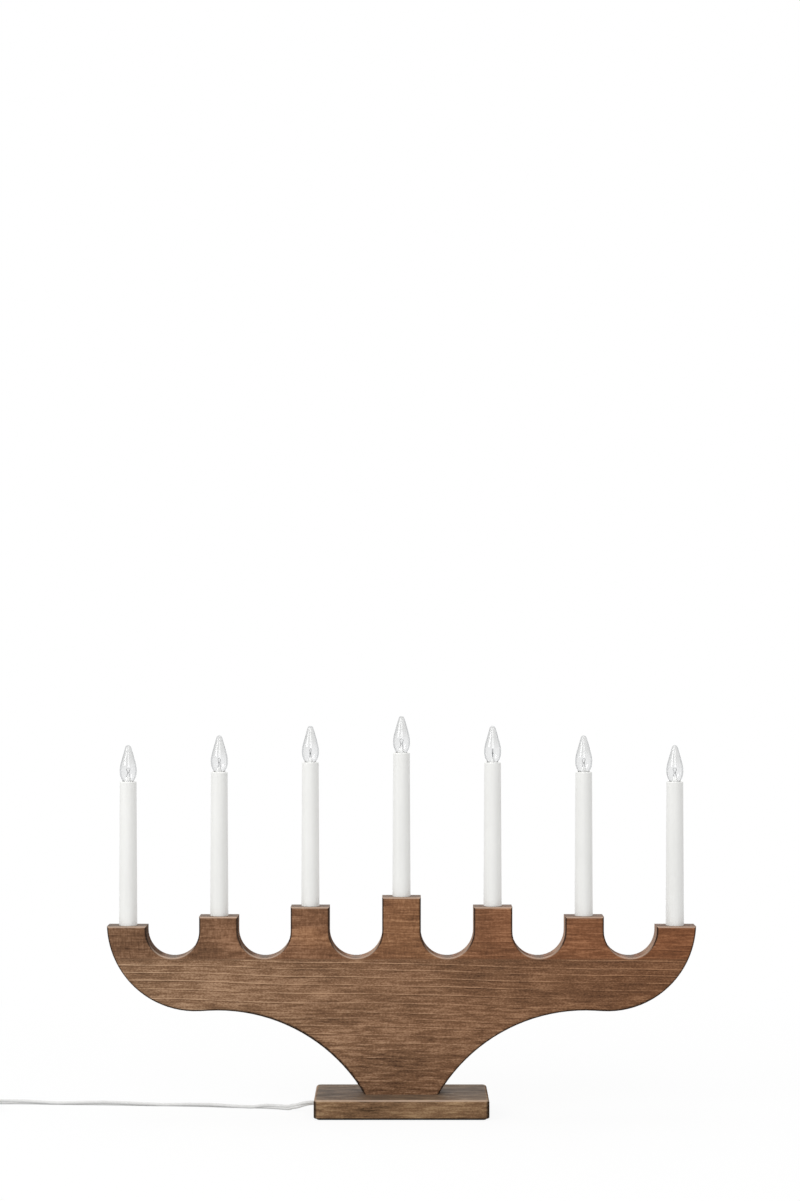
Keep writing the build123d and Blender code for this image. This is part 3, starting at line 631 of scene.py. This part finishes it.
# Wood: dark, middle and light tones; the weights of streaks, specks, hatch, patches, pale lines and their
# shadows; the lines' scale, wander and slope
board_wood = stained_wood(
    "board_wood",
    tones=(shade_of(70, 47, 31), shade_of(132, 100, 74), shade_of(190, 156, 126)),
    grain=(0.33, 0.32, 0.22, 0.36, 0.6, 0.34),
    lines=(124.0, 0.016, 0.02),
    gloss=0.12,
    layout={
        "joint": 0.1545,
        "trunk": 0.1,
        "tints": {
            "lower left": white,
            "lower right": (0.7, 0.55, 0.45, 1),
            "upper left": (0.76, 0.7, 0.67, 1),
            "upper middle": (1.02, 0.85, 0.72, 1),
            "upper right": (0.9, 0.62, 0.47, 1),
        },
    },
)
foot_wood = stained_wood(
    "foot_wood",
    tones=(shade_of(66, 48, 32), shade_of(124, 94, 68), shade_of(170, 140, 106)),
    grain=(0.55, 0.26, 0.0, 0.5, 0.12, 0.12),
    lines=(220.0, 0.01, 0.0),
    gloss=0.06,
)
panel_wood = stained_wood(
    "panel_wood",
    tones=(shade_of(110, 82, 56), shade_of(150, 118, 84), shade_of(170, 140, 104)),
    grain=(0.1, 0.5, 0.0, 0.3, 0.0, 0.0),
    lines=(300.0, 0.02, 0.0),
    gloss=0.2,
)
cover_wood = stained_wood(
    "cover_wood",
    tones=(shade_of(80, 56, 39), shade_of(112, 82, 58), shade_of(140, 106, 78)),
    grain=(0.2, 0.45, 0.0, 0.4, 0.0, 0.0),
    lines=(300.0, 0.02, 0.0),
    gloss=0.1,
)

# Plastic, glass, metal and felt: two near colours, then the roughness or the glass's density
sleeve_plastic = moulded("sleeve_plastic", (0.86, 0.86, 0.84, 1), (0.82, 0.82, 0.8, 1), 0.36, lift=0.000008)
cord_plastic = moulded(
    "cord_plastic",
    (0.75, 0.75, 0.74, 1),
    (0.69, 0.69, 0.68, 1),
    0.42,
    flow=(400.0, 400.0, 400.0),
)
plug_plastic = moulded(
    "plug_plastic",
    (0.8, 0.8, 0.78, 1),
    (0.75, 0.75, 0.73, 1),
    0.4,
    flow=(40.0, 90.0, 90.0),
    speckle=2200.0,
    lift=0.00004,
)
holder_plastic = moulded("holder_plastic", (0.7, 0.69, 0.64, 1), (0.6, 0.59, 0.55, 1), 0.5)
wire_plastic = moulded("wire_plastic", (0.75, 0.75, 0.72, 1), (0.66, 0.66, 0.63, 1), 0.45)
tie_plastic = moulded("tie_plastic", (0.03, 0.03, 0.03, 1), (0.02, 0.02, 0.02, 1), 0.45)
bulb_glass = clear_glass("bulb_glass", 200.0)
bead_glass = clear_glass("bead_glass", 300.0)
stem_glass = moulded(
    "stem_glass",
    (0.82, 0.82, 0.81, 1),
    (0.74, 0.74, 0.73, 1),
    0.3,
    flow=(300.0, 300.0, 60.0),
)
brass = metal("brass", (0.72, 0.5, 0.22, 1), (0.42, 0.29, 0.13, 1), 0.3)
solder = metal("solder", (0.6, 0.6, 0.58, 1), (0.4, 0.4, 0.39, 1), 0.4)
lead_wire = metal("lead_wire", (0.2, 0.2, 0.21, 1), (0.12, 0.12, 0.12, 1), 0.4)
filament_wire = metal("filament_wire", (0.35, 0.35, 0.36, 1), (0.25, 0.25, 0.25, 1), 0.45)
screw_steel = metal("screw_steel", (0.6, 0.6, 0.57, 1), (0.42, 0.42, 0.4, 1), 0.35)
pin_nickel = metal("pin_nickel", (0.72, 0.71, 0.68, 1), (0.55, 0.54, 0.51, 1), 0.2)
felt = felted("felt", (0.1, 0.1, 0.1, 1), (0.015, 0.015, 0.015, 1))

finishes = {
    "arch_board": board_wood,
    "rear_cover": cover_wood,
    "foot_block": foot_wood,
    "base_plate": panel_wood,
    "cord_bush": holder_plastic,
    "cord_clamp": holder_plastic,
    "terminal_block": holder_plastic,
    "socket_bodies": holder_plastic,
    "inner_cord": cord_plastic,
    "link_wires": wire_plastic,
    "feed_wires": wire_plastic,
    "socket_shells": brass,
    "socket_contacts": brass,
    "coil_tie": tie_plastic,
    "plug_body": plug_plastic,
    "plug_pins": pin_nickel,
    **{name: screw_steel for name in nodes if name.endswith("_screws")},
    **{f"candle_sleeve_{n}": sleeve_plastic for n in candles},
    **{f"bulb_cap_{n}": brass for n in candles},
    **{f"bulb_contact_{n}": solder for n in candles},
}
for name, finish in finishes.items():
    for held in nodes[name].material_slots:
        held.material = finish


# Felt under the foot


def felt_pad(low, high):
    """A pad from rings of one rounded rectangle, flat below and above, with a half circle for its edge."""
    corner = 0.0035
    edge = 0.0012
    corner_steps = 24
    edge_steps = 9
    angle = np.linspace(0, math.tau, 4 * corner_steps, endpoint=False) + math.tau / (8 * corner_steps)
    swell = np.linspace(-math.pi / 2, math.pi / 2, edge_steps)
    half = np.array([high.x - low.x, high.y - low.y]) / 2
    quarter = np.stack([np.sign(np.cos(angle)), np.sign(np.sin(angle))], -1)
    round_off = np.stack([np.cos(angle), np.sin(angle)], -1)
    inset = edge * (1 - np.cos(swell))[:, None, None]
    ring = quarter * (half - corner) + round_off * (corner - inset)
    ring = ring + np.array([(low.x + high.x) / 2, (low.y + high.y) / 2])
    height = (low.z + high.z) / 2 + (high.z - low.z) / 2 * np.sin(swell)
    height = np.broadcast_to(height[:, None, None], (*ring.shape[:2], 1))
    return capped(np.concatenate([ring, height], -1)), grid_faces(len(swell) + 2, len(angle))


pad = piece("felt_pad", [felt_pad(*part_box("felt_base"))], felt, "arch")
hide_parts("felt_base")


# Cord: flat, with two round cores side by side

cord_width = 0.0053
core_radius = 0.0016
core_aside = cord_width / 2 - core_radius
exit_place = (-0.0865, 0, 0.0093)


def two_cores():
    """Outline of two round cores side by side: where a ray from the middle leaves the further core."""
    steps = 36
    angle = np.linspace(0, math.tau, steps, endpoint=False)
    reach = core_aside * np.abs(np.cos(angle)) + np.sqrt(core_radius**2 - (core_aside * np.sin(angle)) ** 2)
    return np.stack([reach * np.cos(angle), reach * np.sin(angle)], -1)


def coil_route(turns, middle, outer, layer_turns, step, low, high):
    """Control points of a flat coil in two layers: in along the low one, up in half a turn, and out along the
    high one. They lie outside the line by one part in cos(half their angle), as far as the spline cuts inside
    them."""
    points_per_turn = 16
    climb_turns = 0.5
    climb_inset = 0.5
    first_turn = 0.25
    turn = np.arange(turns * points_per_turn + 1) / points_per_turn
    inner = outer - step * layer_turns
    share = np.clip((turn - layer_turns) / climb_turns, 0, 1)
    inwards = outer - step * turn
    across = inner - step * climb_inset * share * (1 - share)
    outwards = inner + step * (turn - layer_turns - climb_turns)
    radius = np.select([turn <= layer_turns, turn <= layer_turns + climb_turns], [inwards, across], outwards)
    height = low + (high - low) * (1 - np.cos(math.pi * share)) / 2
    angle = math.tau * (turn + first_turn)
    radius = radius / math.cos(math.pi / points_per_turn)
    return np.stack([middle[0] + radius * np.cos(angle), middle[1] + radius * np.sin(angle), height], -1)


plug_low, plug_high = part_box("plug_body")
plug_y = (plug_low.y + plug_high.y) / 2
cord_run = [
    exit_place,
    (-0.0945, 0, 0.0093),
    (-0.106, 0.0045, 0.0046),
    (-0.120, 0.0125, 0.0028),
    (-0.137, 0.0175, 0.0027),
    (-0.157, 0.0185, 0.0027),
    (-0.183, 0.0235, 0.0027),
    (-0.214, 0.0285, 0.0027),
    (-0.256, 0.0305, 0.0027),
    (-0.300, 0.0355, 0.0027),
    (-0.346, 0.037, 0.0027),
    (-0.388, 0.0415, 0.0028),
    (-0.4165, 0.0405, 0.00375),
    (-0.4407, 0.0402, 0.00375),
]
coil = coil_route(
    turns=7,
    middle=(-0.446, 0.0015),
    outer=0.0385,
    layer_turns=3.25,
    step=0.00605,
    low=0.00375,
    high=0.0098,
)
cord_tail = [
    (-0.4600, plug_y, 0.0098),
    (-0.4720, plug_y, 0.0094),
    (-0.4840, plug_y, 0.0074),
    (-0.4940, plug_y, 0.0070),
    (-0.5005, plug_y, 0.0070),
]
cord_line = spline_line(np.concatenate([cord_run, coil, cord_tail]))


def cord_turn(line):
    """Turn of the flat cord about its line: by place along the free stretch, on edge in the coil, and flat in
    the plug."""
    run_places = [86, 92, 105, 117, 135, 150, 168, 182, 196, 240, 300, 350, 400, 416]
    run_degrees = [30, 50, 88, 85, 72, 5, 15, 30, 40, 10, 60, 15, 80, 90]
    coil_starts = 430
    on_edge = 90
    untwist_start = 0.05
    untwist_end = 0.012
    leftwards = -line[:, 0] * mm_per_metre
    free = np.interp(leftwards, run_places, run_degrees)
    run_length = np.r_[0, np.cumsum(np.linalg.norm(np.diff(line, axis=0), axis=1))]
    total = run_length[-1]
    wound = np.interp(run_length, [total - untwist_start, total - untwist_end], [on_edge, 0])
    first_coil = np.argmax(leftwards > coil_starts)
    return np.radians(np.where(np.arange(len(line)) < first_coil, free, wound))


def make_cord():
    """The cord's section carried along its line, lowered to the table where it lies there."""
    clear_of_table = 0.0042
    settling = 0.0008
    free_stretch_end = -0.41
    turn = cord_turn(cord_line)
    lowest = core_radius + core_aside * np.abs(np.sin(turn))
    low = np.clip((clear_of_table - cord_line[:, 2]) / settling, 0, 1)
    lying = low * (cord_line[:, 0] > free_stretch_end)
    line = cord_line.copy()
    line[:, 2] += lying * (lowest - line[:, 2])
    return carried(line, two_cores(), turn)


cord = piece("flat_cord", [make_cord()], cord_plastic, "arch")
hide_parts("cord_run", "cord_coil")


# Bulbs, in millimetres from the middle of the candle's rim

glass_wall = 0.6
lead_radius = 0.22
lead_route = [(1.5, -4.4), (1.9, 4.4), (0.55, 8.8), (1.9, 12.0), (1.75, 12.6)]
bead_height = 8.8
bead_radius = 1.1
bead_stretch = 0.85
filament_radius = 0.045
bulb_angles = [0.25, 0.9, -1.1, 0.05, 1.3, 0.55, -0.35]


def flame_profile(wall):
    """Bulb outline from tip to neck, taken in by a wall: a small tip circle, a straight flank that touches it
    and the shoulder circle, a lower circle down to the neck's slope, and a hollow bend into the straight
    neck."""
    tip_steps = 12
    shoulder_steps = 28
    lower_steps = 16
    bend_steps = 8
    belly = 8.5
    belly_height = 10.0
    shoulder_radius = 34.0
    lower_radius = 17.0
    tip_radius = 3.1
    tip_height = 33.2
    slope = 30.0
    neck = 4.5
    neck_bend = 3.0
    neck_end = -5.4
    shoulder = (belly - shoulder_radius, belly_height)
    away = np.array([-shoulder[0], tip_height - belly_height])
    lean = math.acos((shoulder_radius - tip_radius) / np.hypot(*away))
    flank = math.degrees(math.atan2(away[1], away[0]) - lean)
    lower = arc((belly - lower_radius, belly_height), lower_radius - wall, 0, -slope, lower_steps)
    bend = neck_bend + wall
    tilt = math.radians(slope)
    bend_x = neck + neck_bend - bend * math.cos(tilt)
    bend_y = lower[-1, 1] - (lower[-1, 0] - bend_x) / math.tan(tilt)
    bend_middle = (neck + neck_bend, bend_y - bend * math.sin(tilt))
    hollow = arc(bend_middle, bend, 180 - slope, 180, bend_steps)
    parts = [
        arc((0, tip_height), tip_radius - wall, 90, flank, tip_steps),
        arc(shoulder, shoulder_radius - wall, flank, 0, shoulder_steps),
        lower[1:],
        hollow,
        np.array([[neck - wall, neck_end]]),
    ]
    return np.concatenate(parts) / mm_per_metre


def make_glass(middle):
    """Glass shell: its outer outline down and its inner one back up, turned about the candle's axis."""
    outline = np.concatenate([flame_profile(0), flame_profile(glass_wall)[::-1]])
    return turned(outline, middle, around=72)


def ball(middle, radius, stretch):
    """A round bead: half a circle of (radius, height), stretched upright, turned about an upright axis."""
    outline = arc((0, 0), radius, -90, 90, steps=16) * (1, stretch)
    return turned(outline, middle, around=24)


def wire_along(line, radius, around=10):
    """A round wire along a line that lies in an upright plane across the picture."""
    over = (0, 1, 0)
    along = unit(np.gradient(line, axis=0))
    side = unit(np.cross(along, over))
    angle = np.linspace(0, math.tau, around, endpoint=False)
    ring = side[:, None] * np.cos(angle)[None, :, None] + np.array(over) * np.sin(angle)[None, :, None]
    return capped(line[:, None] + radius * ring), grid_faces(len(line) + 2, around)


def soft_corners(corners):
    """A line near its corner points, rounded by a few passes of a running mean."""
    steps = 60
    passes = 3
    kernel = np.array([1, 2, 1]) / 4
    corners = np.array(corners, float)
    length = np.r_[0, np.cumsum(np.linalg.norm(np.diff(corners, axis=0), axis=1))]
    even = np.linspace(0, length[-1], steps)
    line = np.stack([np.interp(even, length, corners[:, k]) for k in range(3)], -1)
    for _ in range(passes):
        inside = np.stack([np.convolve(line[:, k], kernel, "valid") for k in range(3)], -1)
        line = np.concatenate([line[:1], inside, line[-1:]])
    return line


def filament_coil():
    """A helix round a bow: the bow's height falls off with the square of the place across it."""
    half_width = 1.85
    height = 12.3
    rise = 1.2
    coil_radius = 0.16
    turns = 26
    steps = 520
    across = np.linspace(-1, 1, steps)
    angle = turns * math.pi * across
    bow = np.stack([half_width * across, np.zeros(steps), height + rise * (1 - across**2)], -1)
    return bow + coil_radius * np.stack([np.zeros(steps), np.cos(angle), np.sin(angle)], -1)


def lead(side):
    """One lead: up from the stem, in to the bead, and out to the filament's end."""
    return soft_corners([(out * side, 0, up) for out, up in lead_route])


def stem():
    """Pressed glass stem in the neck: a tube that is drawn in towards its top and pinched flat there."""
    outline = np.array(
        [(0, -5.2), (3.7, -5.2), (3.7, -2.0), (3.3, 0), (2.7, 2.0), (2.4, 4.0), (2.0, 4.6), (0, 4.8)],
    )
    pinch_heights = [-2.0, 4.0]
    pinch = [1.0, 0.45]
    points, faces = turned(outline, (0, 0, 0), around=40)
    points[..., 1] *= np.interp(points[..., 2], pinch_heights, pinch)
    return points, faces


def turned_about(surface, angle, middle):
    """A surface turned about an upright axis and set on a place, from millimetres."""
    points, faces = surface
    cos, sin = math.cos(angle), math.sin(angle)
    x = points[..., 0] * cos - points[..., 1] * sin
    y = points[..., 0] * sin + points[..., 1] * cos
    return np.stack([x, y, points[..., 2]], -1) / mm_per_metre + np.array(middle), faces


def make_bulb(n, angle):
    """A bulb's glass, leads, filament, bead and stem, turned by an angle about the candle's axis."""
    low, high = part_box(f"candle_sleeve_{n}")
    rim = ((low.x + high.x) / 2, 0, high.z)
    body = f"bulb_{n}"
    glass = piece(f"flame_glass_{n}", [make_glass(rim)], bulb_glass, body)
    glass.visible_shadow = False
    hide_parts(f"bulb_glass_{n}")
    leads = [turned_about(wire_along(lead(side), lead_radius), angle, rim) for side in (-1, 1)]
    mount = piece(f"leads_{n}", leads, lead_wire, body)
    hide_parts(f"bulb_filament_{n}")
    glow = turned_about(wire_along(filament_coil(), filament_radius, around=6), angle, rim)
    piece(f"filament_{n}", [glow], filament_wire, body)
    bead = turned_about(ball((0, 0, bead_height), bead_radius, bead_stretch), angle, rim)
    piece(f"bead_{n}", [bead], bead_glass, body)
    piece(f"stem_{n}", [turned_about(stem(), angle, rim)], stem_glass, body)


for n, angle in zip(candles, bulb_angles):
    make_bulb(n, angle)


# Floor, light and background


def grey(tone):
    """A neutral colour."""
    return (tone, tone, tone, 1)


def camera_share(tree):
    """One where a look, a reflection or a look through glass comes straight from the eye."""
    path = tree.nodes.new("ShaderNodeLightPath").outputs
    seen = calc(tree, "MAXIMUM", path["Is Camera Ray"], path["Is Glossy Ray"])
    return calc(tree, "MAXIMUM", seen, path["Is Transmission Ray"])


def make_floor():
    """A square floor. It gives back light as a matt grey, and to the eye it is white, with a share of matt
    white near the arch, which takes its shadow and fades with the distance from it."""
    half = 6.0
    shadow_share = 0.11
    shadow_fade = (0.25, 0.9)
    corners = np.array([[(-1, -1, 0), (1, -1, 0)], [(-1, 1, 0), (1, 1, 0)]], float) * half
    floor = add_object("floor", mesh_of("floor", [(corners, np.array([[0, 1, 3, 2]]))]))
    material = bpy.data.materials.new("pale_floor")
    material.use_nodes = True
    tree = material.node_tree
    tree.nodes.remove(tree.nodes["Principled BSDF"])
    matt = put(tree, "ShaderNodeBsdfDiffuse", {"Color": grey(0.6)})
    bright = put(tree, "ShaderNodeBsdfDiffuse", {"Color": grey(0.9)})
    glow = put(tree, "ShaderNodeEmission", {"Color": white, "Strength": 1.0})
    place = tree.nodes.new("ShaderNodeTexCoord").outputs["Object"]
    away = put(tree, "ShaderNodeVectorMath", {0: place}, out=1, operation="LENGTH")
    near = spread(tree, away, *shadow_fade, shadow_share, 0.0)
    shown = put(tree, "ShaderNodeMixShader", {0: near, 1: glow, 2: bright})
    surface = put(tree, "ShaderNodeMixShader", {0: camera_share(tree), 1: matt, 2: shown})
    tree.links.new(surface, tree.nodes["Material Output"].inputs["Surface"])
    floor.data.materials.append(material)


def make_world():
    """A room of plain white light, dimmer for what it lights than for the eye, which sees it white."""
    room_light = 0.68
    world = bpy.data.worlds.new("studio")
    bpy.context.scene.world = world
    world.use_nodes = True
    tree = world.node_tree
    room = tree.nodes["Background"]
    fill(tree, room, {"Color": white, "Strength": room_light})
    shown = put(tree, "ShaderNodeBackground", {"Color": white, "Strength": 1.0})
    both = put(tree, "ShaderNodeMixShader", {0: camera_share(tree), 1: room.outputs[0], 2: shown})
    tree.links.new(both, tree.nodes["World Output"].inputs["Surface"])


def softbox(name, place, size, power):
    """A square lamp that points at the arch."""
    aim = (0, 0, 0.2)
    light = bpy.data.lights.new(name, "AREA")
    light.shape = "SQUARE"
    light.size = size
    light.energy = power
    box = add_object(name, light)
    box.location = place
    box.rotation_euler = (Vector(aim) - Vector(place)).to_track_quat("-Z", "Y").to_euler()


make_floor()
make_world()
softbox("left_box", place=(-1.9, -1.3, 1.5), size=1.2, power=19)
softbox("front_box", place=(0.2, -2.8, 1.7), size=1.6, power=21)
softbox("top_box", place=(0, 0.3, 2.0), size=1.4, power=9)
